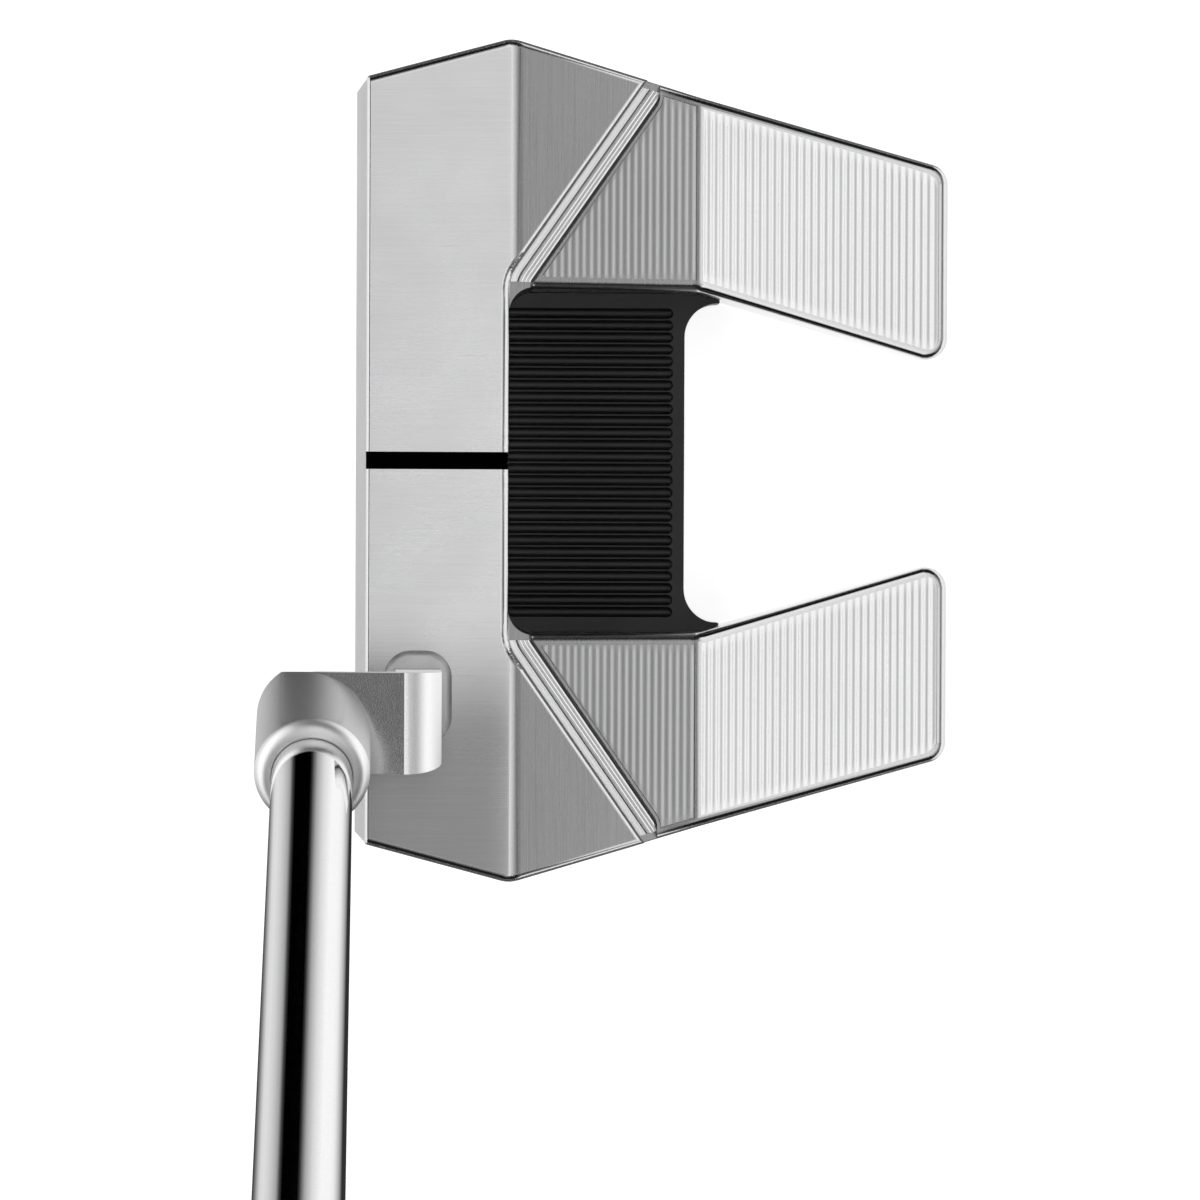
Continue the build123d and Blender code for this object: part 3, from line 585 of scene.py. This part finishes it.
def makeCove(side, word):
    # the profile is a quarter round, a fine V line and low ribs, carried along the step's arc and line
    r = cove["r"]
    floor = head["stepDrop"] + head["grooveDrop"]
    quarter = r - r * np.cos(np.linspace(0, np.pi / 2, cove["roundRows"]))
    q = np.concatenate([quarter, np.linspace(r + cove["rowGap"], cove["width"], cove["flatRows"])])
    roundDrop = floor - cove["lift"] - (r - np.sqrt(np.maximum(r * r - (q - r) ** 2, 0)))
    vLine = cove["line"] * np.clip(1 - np.abs(q - r - cove["lineAt"]) / cove["lineHalf"], 0, 1)
    edge = cove["width"] - cove["edge"]
    ribsFrom = r + cove["ribsFrom"]
    share = np.clip((q - ribsFrom) / (edge - ribsFrom), 0, 1)
    rib = cove["ribHeight"] * (0.5 - 0.5 * np.cos(2 * np.pi * cove["ribs"] * share))
    dip = cove["edgeDepth"] * np.clip(1 - np.abs(q - edge - cove["edge"] / 2) / (cove["edge"] / 2), 0, 1)
    drop = np.where(q < r, roundDrop, floor - cove["lift"] + vLine - rib + dip)
    angle = math.radians(head["stepAngle"])
    full = math.pi / 2 - angle
    turn = head["stepTurn"]
    middleX = head["stepX"] - turn * math.tan(full / 2)
    middleY = head["deckDepth"] + turn
    arcR = turn - q
    first = np.arcsin(np.clip((head["cavityHalf"] + cove["start"] - middleX) / arcR, 0, math.sin(full)))
    arcLength = arcR * (full - first)
    lineX = middleX + arcR * math.sin(full)
    lineY = middleY - arcR * math.cos(full)
    alongX, alongY = math.sin(angle), math.cos(angle)
    lineLength = (outerX(0, cove["endInset"]) - lineX - sideSlope * lineY) / (alongX + sideSlope * alongY)
    u = np.linspace(0, 1, cove["steps"])
    run = u[None, :] * (arcLength + lineLength)[:, None]
    turned = np.minimum(first[:, None] + run / arcR[:, None], full)
    onLine = np.maximum(run - arcLength[:, None], 0)
    x = middleX + arcR[:, None] * np.sin(turned) + onLine * alongX
    y = middleY - arcR[:, None] * np.cos(turned) + onLine * alongY
    top = placed(side * x, y, upperZ(y, 0) - drop[:, None])
    bottom = placed(side * x, y, upperZ(y, floor + cove["under"]))
    mesh = slabMesh("step_cove_" + word, top, bottom)
    shadeRound(mesh, 50)
    for name in ("ridgeAlloy", "covePaintedHighlight", "stepPaintedShade"):
        mesh.materials.append(materials[name])
    # the quarter round takes a painted highlight; the V line and the edge beside the panel are real dips that
    # also take a painted shade
    middle = (q[:-1] + q[1:]) / 2
    inLine = np.abs(middle - r - cove["lineAt"]) < cove["lineShade"] * cove["lineHalf"]
    part = np.where(middle < r, 1, np.where(inLine | (middle > edge), 2, 0))
    index = np.zeros(len(mesh.polygons), dtype=np.int32)
    index[:len(middle) * (cove["steps"] - 1)] = np.repeat(part, cove["steps"] - 1)
    mesh.polygons.foreach_set("material_index", index)
    addPiece("step_cove_" + word, mesh, "head_alloy")


makeRidgePanels()
makeCove(-1, "toe")
makeCove(1, "heel")
print("head made")

flange = smoothCopy("sole_flange", "flange_plate", "flange_black", 30)
flange.data.materials.append(materials["flangeAnodised"])
sight = smoothCopy("sight_line", "sight_paint", "sight_paint", 30)
sight.data.materials.append(materials["sightEnamel"])
for node in ("flange_screws", "neck_screw"):
    screw = smoothCopy(node, node.replace("screw", "bolt"), "screw_steel", 30)
    screw.data.materials.append(materials["screwSteel"])
weights = {"rings": 9000.0, "rough": 0.22}
for node in ("toe_weight", "heel_weight"):
    low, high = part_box(node)
    centre = tuple((a + b) / 2 for a, b in zip(low, high))
    look = dict(dark=(0.5, 0.5, 0.5), light=(0.66, 0.66, 0.66), haze=(0.5, 0.5, 0.5), rough=weights["rough"],
                roughSpread=0.1, rings=weights["rings"], bump=0.5, centre=centre)
    piece = smoothCopy(node, node + "_turned", "weight_steel", 30)
    piece.data.materials.append(makeFinish(node + "Turned", look))
plain = {"flange_gasket": "capRubber", "weight_washers": "capRubber", "tip_plug": "plugPlastic",
         "grip_tape": "crepeTape"}
for node, finish in plain.items():
    nodes[node].data.materials.clear()
    nodes[node].data.materials.append(materials[finish])
print("flange and small parts made")

lean = math.radians(20.0)
shaftLine = {"hoselX": 36.85, "hoselY": -6.0, "hoselZ": 61.0, "length": 863.6, "cap": 4.0}
shaftStart = np.array([shaftLine["hoselX"] - shaftLine["hoselZ"] * math.tan(lean), shaftLine["hoselY"], 0.0])
underside = np.array([math.cos(lean), 0.0, -math.sin(lean)])
upShaft = np.array([math.sin(lean), 0.0, math.cos(lean)])
rimS = shaftLine["hoselZ"] / math.cos(lean)
buttS = shaftLine["length"] - shaftLine["cap"]


def onShaft(a, b, s):
    # a across towards the underside, b along Y, s up the shaft, all from the ground point
    a, b, s = np.broadcast_arrays(a, b, s)
    sideways = b[..., None] * np.array([0.0, 1.0, 0.0])
    return shaftStart + a[..., None] * underside + sideways + s[..., None] * upShaft


def lathePoints(profile, around):
    # rings of (radius, distance) turned about the shaft's axis
    angle = np.linspace(0, 2 * np.pi, around, endpoint=False)
    radius, s = profile[:, 0][:, None], profile[:, 1][:, None]
    points = onShaft(radius * np.cos(angle), radius * np.sin(angle), s + 0 * angle)
    return points + np.array([0.0, topLineY, 0.0])


hosel = {"d": 13.4, "length": 19.15, "rim": 1.5, "bore": 9.5, "toeSide": 25.1, "around": 128, "lift": 0.012,
         "inside": 6.0, "boreEdge": 0.15, "footEdge": 0.25, "highlightShare": 0.9}
arm = {"flat": 0.99, "topOver": 45.0, "bendBack": 0.1, "bendUp": 0.05, "bendY": 4.0, "bendOver": 42.0}


def makeHosel():
    # round sleeve with a rolled rim, cut flat where it passes the neck's toe side
    r = hosel["d"] / 2 + hosel["lift"]
    turn = np.linspace(0, np.pi / 2, 12)
    rim = hosel["rim"]
    bore = hosel["bore"] / 2
    top = rimS + hosel["lift"]
    boreEdge, footEdge = hosel["boreEdge"], hosel["footEdge"]
    profile = [(bore, top - hosel["inside"]), (bore, top - boreEdge), (bore + boreEdge, top)]
    rolled = np.stack([r - rim + rim * np.sin(turn), top - rim + rim * np.cos(turn)], axis=-1)
    low = rimS - hosel["length"] - hosel["lift"]
    rest = [(r, low + footEdge), (r - footEdge, low)]
    points = lathePoints(np.concatenate([profile, rolled, rest]), hosel["around"])
    points[..., 0] = np.maximum(points[..., 0], hosel["toeSide"] - hosel["lift"])
    mesh = tubeMesh("hosel_sleeve", points * mm)
    shadeRound(mesh, 35)
    mesh.materials.append(materials["neckSteel"])
    # the top of the rolled rim takes a painted highlight, the rest the satin steel
    mesh.materials.append(materials["satinPaintedHighlight"])
    centre = faceArrays(mesh)[1] - np.array([0.0, topLineY, 0.0])
    up = (centre - shaftStart) @ upShaft
    mesh.polygons.foreach_set("material_index", (up > rimS - rim * hosel["highlightShare"]).astype(np.int32))
    addPiece("hosel_sleeve", mesh, "neck_steel")


neck = smoothCopy("plumbing_neck", "neck_arm", "neck_steel", 35)
for name in ("neckSteel", "armSteel", "satinPaintedHighlight"):
    neck.data.materials.append(materials[name])
facing, place = faceArrays(neck.data)
# the arm's flat top takes the smoother steel; its bend towards the rear takes a painted highlight
isTop = (facing[:, 2] > arm["flat"]) & (place[:, 2] > arm["topOver"])
bendHighlight = (facing[:, 1] > arm["bendBack"]) & (facing[:, 2] > arm["bendUp"])
bendHighlight &= (place[:, 1] > topLineY + arm["bendY"]) & (place[:, 2] > arm["bendOver"])
neck.data.polygons.foreach_set("material_index", np.where(isTop, 1, np.where(bendHighlight, 2, 0)).astype(np.int32))
makeHosel()
print("neck made")

tube = {
    "tipR": 4.7, "buttR": 7.5, "steps": 13, "plain": 150.0, "taper": 1.6, "lastGap": 25.0, "around": 128,
    "depth": 16.0, "gripLength": 264.0,
}


def makeShaft():
    # parallel runs joined by short S-shaped swells, each a little wider than the last
    first = rimS + tube["plain"]
    last = buttS - tube["gripLength"] - tube["lastGap"] - tube["taper"]
    starts = np.linspace(first, last, tube["steps"])
    swell = np.linspace(0, 1, 9)
    s = np.concatenate([[rimS - tube["depth"]], (starts[:, None] + swell * tube["taper"]).ravel(), [buttS]])
    rise = (tube["buttR"] - tube["tipR"]) / tube["steps"]
    eased = 0.5 - 0.5 * np.cos(np.pi * np.clip((s[:, None] - starts) / tube["taper"], 0, 1))
    radius = tube["tipR"] + rise * eased.sum(axis=1)
    mesh = tubeMesh("shaft_tube", lathePoints(np.stack([radius, s], axis=-1), tube["around"]) * mm)
    shadeRound(mesh, 40)
    mesh.materials.append(materials["shaftChrome"])
    addPiece("shaft_tube", mesh, "shaft_chrome", "shaft")


makeShaft()
print("shaft made")

grip = {
    # share of the length, radius, flat's distance from the middle, drop of the middle under the axis
    "sections": [(0.0, 9.4, 8.9, 0.0), (0.2, 10.6, 9.4, 0.2), (0.5, 11.6, 9.7, 0.6), (0.78, 13.2, 10.3, 1.8),
                 (1.0, 13.0, 10.0, 1.2)],
    "length": 264.0, "around": 150, "rows": 560, "corner": 26.0,
    "netDepth": 0.28, "netPitch": 5.0, "netWidth": 0.16, "netTwist": 12.0,
    "barDepth": 0.3, "barPitch": 4.0, "barWidth": 0.2,
    "plainEnd": 0.05,       # share of the length left plain at each end
    "endRate": 60,          # the pattern fades in over one part in this many of the length
    "netEdge": -0.45, "netFade": 0.15,      # by the cosine from the back: how far round the net reaches
    "barEdge": 0.86, "barFade": 0.06,       # and, by the cosine from the flat's middle, how wide the bars are
    "mouth": 1.1, "mouthLength": 1.6,
}


def throughStops(t, stops, values):
    # cubic Hermite curve through the stops, its slopes taken from each stop's neighbours
    slopes = np.gradient(values, stops)
    i = np.clip(np.searchsorted(stops, t, side="right") - 1, 0, len(stops) - 2)
    span = stops[i + 1] - stops[i]
    f = (t - stops[i]) / span
    return ((2 * f**3 - 3 * f**2 + 1) * values[i] + (f**3 - 2 * f**2 + f) * span * slopes[i]
            + (3 * f**2 - 2 * f**3) * values[i + 1] + (f**3 - f**2) * span * slopes[i + 1])


def makeGrip():
    # d-shaped rings: the smaller of a circle and a flat, with a moulded net sunk round the back
    stops, radii, flats, drops = (np.array(column) for column in zip(*grip["sections"]))
    t = np.linspace(0, 1, grip["rows"])
    angle = np.linspace(0, 2 * np.pi, grip["around"], endpoint=False)
    radius = throughStops(t, stops, radii)[:, None]
    flat = throughStops(t, stops, flats)[:, None]
    drop = throughStops(t, stops, drops)[:, None]
    s = buttS - grip["length"] + grip["length"] * t
    toFlat = np.maximum(-np.cos(angle), 1e-3)[None, :]
    power = grip["corner"]
    reach = (radius ** -power + (flat / toFlat) ** -power) ** (-1 / power)
    length = s[:, None]
    roundWay = angle[None, :] * grip["netTwist"]
    net = np.minimum(np.abs(((length + roundWay) / grip["netPitch"]) % 1 - 0.5),
                     np.abs(((length - roundWay) / grip["netPitch"]) % 1 - 0.5))
    net = 0.5 - 0.5 * np.cos(np.pi * np.clip(1 - net / grip["netWidth"], 0, 1))
    offBar = np.abs((length / grip["barPitch"]) % 1 - 0.5) / grip["barWidth"]
    bar = 0.5 - 0.5 * np.cos(np.pi * np.clip(1 - offBar, 0, 1))
    plainEnd = grip["plainEnd"]
    inside = np.clip(np.minimum(t - plainEnd, 1 - plainEnd - t) * grip["endRate"], 0, 1)[:, None]
    onBack = np.clip((np.cos(angle) - grip["netEdge"]) / grip["netFade"], 0, 1)[None, :]
    middle = np.clip((-np.cos(angle) - grip["barEdge"]) / grip["barFade"], 0, 1)[None, :]
    sunk = inside * (net * onBack * grip["netDepth"] + bar * middle * grip["barDepth"])
    fromMouth = 1 - np.clip((s - s[0]) / grip["mouthLength"], 0, 1)
    mouth = grip["mouth"] * (1 - np.sqrt(np.clip(1 - fromMouth ** 2, 0, 1)))[:, None]
    reach = reach - sunk - mouth
    points = onShaft(drop + reach * np.cos(angle), reach * np.sin(angle), length + 0 * reach)
    mesh = tubeMesh("grip_rubber", (points + np.array([0.0, topLineY, 0.0])) * mm)
    shadeRound(mesh, 60)
    mesh.materials.append(materials["gripRubber"])
    addPiece("grip_rubber", mesh, "grip_rubber", "grip")


makeGrip()
cap = smoothCopy("grip_cap", "grip_end", "cap_rubber", 35)
cap.data.materials.append(materials["capRubber"])
print("grip made")


studio = {
    "floorHalf": 3.0,       # metres
    "floorZ": -0.04,        # mm, just under the sole
    "floorGlow": 0.84, "floorColor": (0.6, 0.6, 0.6),
    # brightness by the angle from the zenith, towards the face (minus) or the rear (plus), in degrees
    "alongY": [(-90, 1.2), (-60, 1.4), (-36, 1.4), (-30, 0.3), (-21, 0.03), (-8, 0.03), (-5, 0.6), (-3, 1.05),
               (0, 1.38), (7, 1.22), (14, 0.95), (22, 0.52), (30, 0.15), (42, 0.24), (52, 1.1), (70, 1.3),
               (90, 1.3)],
    # and by how far it leans to the toe or the heel: x over a height that counts for most near the zenith,
    # cut off sooner towards the rear, and opened again low down towards the front and the rear
    "rearCut": 4.6, "lowOpen": 4.5, "lowPower": 2.0,
    "heightPower": 3.0, "heightGain": 1.2, "heightLeast": 0.14, "horizon": 0.02,
    "alongX": [(0.0, 1.0), (0.8, 1.0), (0.93, 0.8), (1.05, 0.15), (1.3, 0.04), (2.0, 0.03)],
    "top": 1.6,
}


def makeFloor():
    half = studio["floorHalf"]
    corners = np.array([[-half, -half, 0], [half, -half, 0], [half, half, 0], [-half, half, 0]])
    corners[:, 2] = studio["floorZ"] * mm
    mesh = bpy.data.meshes.new("floor")
    mesh.from_pydata(corners.tolist(), [], [(0, 1, 2, 3)])
    material = bpy.data.materials.new("paleFloor")
    material.use_nodes = True
    shader = material.node_tree.nodes["Principled BSDF"]
    shader.inputs["Base Color"].default_value = (*studio["floorColor"], 1)
    shader.inputs["Roughness"].default_value = 0.9
    shader.inputs["Specular IOR Level"].default_value = 0.0
    shader.inputs["Emission Color"].default_value = (1, 1, 1, 1)
    shader.inputs["Emission Strength"].default_value = studio["floorGlow"]
    # clear from underneath, so that the sole can be looked at
    tree = material.node_tree
    mix = tree.nodes.new("ShaderNodeMixShader")
    tree.links.new(tree.nodes.new("ShaderNodeNewGeometry").outputs["Backfacing"], mix.inputs["Fac"])
    tree.links.new(shader.outputs[0], mix.inputs[1])
    tree.links.new(tree.nodes.new("ShaderNodeBsdfTransparent").outputs[0], mix.inputs[2])
    tree.links.new(mix.outputs[0], tree.nodes["Material Output"].inputs["Surface"])
    mesh.materials.append(material)
    floor = bpy.data.objects.new("floor", mesh)
    bpy.context.scene.collection.objects.link(floor)


board = {
    # a sheet over the head that only mirrors see, and only from above: the shaft's and the neck's stripes.
    # Its brightness turns with the angle about the point where the shaft's axis passes through it.
    "half": 0.45, "z": 31.0,
    "byAngle": [(0, 0.03), (47, 0.03), (64, 0.47), (84, 0.92), (98, 1.02), (124, 1.04), (135, 0.92),
                (147, 0.78), (156, 0.6), (165, 0.41), (171, 0.2), (177, 0.04), (182, 0.0), (220, 0.0),
                (227, 0.06), (236, 0.41), (247, 0.57), (259, 0.7), (276, 0.8), (291, 0.75), (316, 0.23),
                (333, 0.06), (360, 0.03)],
}
sides = {
    # floor strips at the toe and the heel that only mirrors see: dark but for a paler band, for the rims
    "near": 53.0, "far": 620.0, "nearY": (-45.0, 65.0), "farY": (-230.0, 230.0), "z": 0.1,
    "away": [(53, 0.03), (60, 0.04), (74, 0.2), (98, 0.2), (118, 0.04), (620, 0.02)],
}
shade = {
    # a flag under the neck that only mirrors see, and only from below: it dims the deck's heel end
    "corners": [(21.0, -34.0), (62.0, -34.0), (62.0, -7.5), (21.0, -7.5)],
    "z": 38.0, "from": 21.0, "to": 32.0, "amount": 0.6,
}


def addSheet(name, corners, z, seenFromAbove):
    # a flat sheet of the studio, lit or dark, that only glossy rays meet, from one side alone
    mesh = bpy.data.meshes.new(name)
    mesh.from_pydata([(x * mm, y * mm, z * mm) for x, y in corners], [], [(0, 1, 2, 3)])
    material = bpy.data.materials.new(name)
    material.use_nodes = True
    tree = material.node_tree
    tree.nodes.remove(tree.nodes["Principled BSDF"])
    glow = tree.nodes.new("ShaderNodeEmission")
    clear = tree.nodes.new("ShaderNodeBsdfTransparent")
    mix = tree.nodes.new("ShaderNodeMixShader")
    under = tree.nodes.new("ShaderNodeNewGeometry").outputs["Backfacing"]
    side = mathNode(tree, "SUBTRACT", 1.0, under) if seenFromAbove else under
    tree.links.new(side, mix.inputs["Fac"])
    tree.links.new(clear.outputs[0], mix.inputs[1])
    tree.links.new(glow.outputs[0], mix.inputs[2])
    tree.links.new(mix.outputs[0], tree.nodes["Material Output"].inputs["Surface"])
    mesh.materials.append(material)
    sheet = bpy.data.objects.new(name, mesh)
    bpy.context.scene.collection.objects.link(sheet)
    sheet.visible_camera = False
    sheet.visible_diffuse = False
    sheet.visible_shadow = False
    sheet.visible_transmission = False
    place = tree.nodes.new("ShaderNodeSeparateXYZ")
    tree.links.new(tree.nodes.new("ShaderNodeTexCoord").outputs["Object"], place.inputs[0])
    return tree, place.outputs, glow, mix, side


def makeBoard():
    half = board["half"] / mm
    corners = [(-half, -half), (half, -half), (half, half), (-half, half)]
    tree, place, glow, _, _ = addSheet("mirror_board", corners, board["z"], True)
    axis = shaftStart + upShaft * board["z"] / upShaft[2] + np.array([0.0, topLineY, 0.0])
    x = mathNode(tree, "SUBTRACT", place["X"], float(axis[0]) * mm)
    y = mathNode(tree, "SUBTRACT", place["Y"], float(axis[1]) * mm)
    turned = mathNode(tree, "DEGREES", mathNode(tree, "ARCTAN2", y, x))
    angle = mathNode(tree, "MODULO", mathNode(tree, "ADD", turned, 360.0), 360.0)
    level = rampNode(tree, angle, 0, 360, board["byAngle"], 1.1)
    tree.links.new(level, glow.inputs["Strength"])


def makeSides():
    for sign, word in ((-1, "toe"), (1, "heel")):
        near, away = sign * sides["near"], sign * sides["far"]
        corners = [(near, sides["nearY"][0]), (away, sides["farY"][0]), (away, sides["farY"][1]),
                   (near, sides["nearY"][1])]
        tree, place, glow, _, _ = addSheet(word + "_strip", corners[::sign], sides["z"], True)
        apart = mathNode(tree, "MULTIPLY", mathNode(tree, "ABSOLUTE", place["X"]), 1 / mm)
        level = rampNode(tree, apart, sides["near"], sides["far"], sides["away"], 1.0)
        tree.links.new(level, glow.inputs["Strength"])


def makeShade():
    tree, place, glow, mix, side = addSheet("heel_shade", shade["corners"], shade["z"], False)
    glow.inputs["Strength"].default_value = 0.0
    share = remap(tree, place["X"], shade["from"] * mm, shade["to"] * mm, 0.0, shade["amount"])
    tree.links.new(mathNode(tree, "MULTIPLY", share, side), mix.inputs["Fac"])


def makeWorld():
    # a soft light overhead and pale ends, dark to both sides, behind a pale backdrop
    world = bpy.data.worlds.new("studio")
    bpy.context.scene.world = world
    world.use_nodes = True
    tree = world.node_tree
    split = tree.nodes.new("ShaderNodeSeparateXYZ")
    tree.links.new(tree.nodes.new("ShaderNodeTexCoord").outputs["Generated"], split.inputs[0])
    upward = mathNode(tree, "MAXIMUM", split.outputs["Z"], studio["horizon"])
    tilt = mathNode(tree, "DEGREES", mathNode(tree, "ARCTAN2", split.outputs["Y"], upward))
    alongY = rampNode(tree, tilt, -90, 90, studio["alongY"], studio["top"])
    raised = mathNode(tree, "MAXIMUM", split.outputs["Z"], 0.0)
    raised = mathNode(tree, "POWER", raised, studio["heightPower"])
    height = mathNode(tree, "MULTIPLY_ADD", raised, studio["heightGain"], studio["heightLeast"])
    low = mathNode(tree, "POWER", mathNode(tree, "SUBTRACT", 1.0, upward), studio["lowPower"])
    lengthwise = mathNode(tree, "MULTIPLY", split.outputs["Y"], split.outputs["Y"])
    opened = mathNode(tree, "MULTIPLY", mathNode(tree, "MULTIPLY", lengthwise, low), studio["lowOpen"])
    height = mathNode(tree, "ADD", height, opened)
    rearUp = mathNode(tree, "MULTIPLY", mathNode(tree, "MAXIMUM", split.outputs["Y"], 0.0), upward)
    rearward = mathNode(tree, "MULTIPLY_ADD", rearUp, studio["rearCut"], 1.0)
    across = mathNode(tree, "MULTIPLY", mathNode(tree, "ABSOLUTE", split.outputs["X"]), rearward)
    aside = mathNode(tree, "DIVIDE", across, height)
    alongX = rampNode(tree, aside, 0, 2, studio["alongX"], studio["top"])
    level = mathNode(tree, "MULTIPLY", alongY, alongX)
    lit = tree.nodes["Background"]
    tree.links.new(level, lit.inputs["Strength"])
    lit.inputs["Color"].default_value = (1, 1, 1, 1)
    backdrop = tree.nodes.new("ShaderNodeBackground")
    backdrop.inputs["Color"].default_value = (1, 1, 1, 1)
    backdrop.inputs["Strength"].default_value = 1.0
    mix = tree.nodes.new("ShaderNodeMixShader")
    tree.links.new(tree.nodes.new("ShaderNodeLightPath").outputs["Is Camera Ray"], mix.inputs["Fac"])
    tree.links.new(lit.outputs[0], mix.inputs[1])
    tree.links.new(backdrop.outputs[0], mix.inputs[2])
    tree.links.new(mix.outputs[0], tree.nodes["World Output"].inputs["Surface"])


makeFloor()
makeBoard()
makeSides()
makeShade()
makeWorld()
bpy.context.scene.view_settings.view_transform = "Standard"

# the camera stands straight above the deck; up in its view is the toe and right is the rear
view = {
    "overX": 8.4, "overY": topLineY + 2.9, "height": 853.0,
    "focal": 6870 / 1200,   # focal length as a share of the view's width
    "right": 210 / 1200,    # how far the view's middle lies from the point straight below
    "up": -70 / 1200,
    "roll": 0.22,
}


def makeCamera():
    data = bpy.data.cameras.new("addressView")
    data.sensor_width = 36.0
    data.lens = view["focal"] * data.sensor_width
    data.clip_start = 0.01
    camera = bpy.data.objects.new("addressView", data)
    bpy.context.scene.collection.objects.link(camera)
    place = Vector((view["overX"] * mm, view["overY"] * mm, view["height"] * mm))
    turn = Matrix.Rotation(math.radians(view["roll"]), 3, "Z")
    down = Vector((0, 0, -1))
    up = turn @ Vector((-1, 0, 0))
    look = (down * view["focal"] + down.cross(up) * view["right"] + up * view["up"]).normalized()
    sideways = look.cross(up).normalized()
    upright = sideways.cross(look)
    rotation = Matrix((sideways, upright, -look)).transposed().to_4x4()
    camera.matrix_world = Matrix.Translation(place) @ rotation
    bpy.context.scene.camera = camera


makeCamera()
print("studio made")
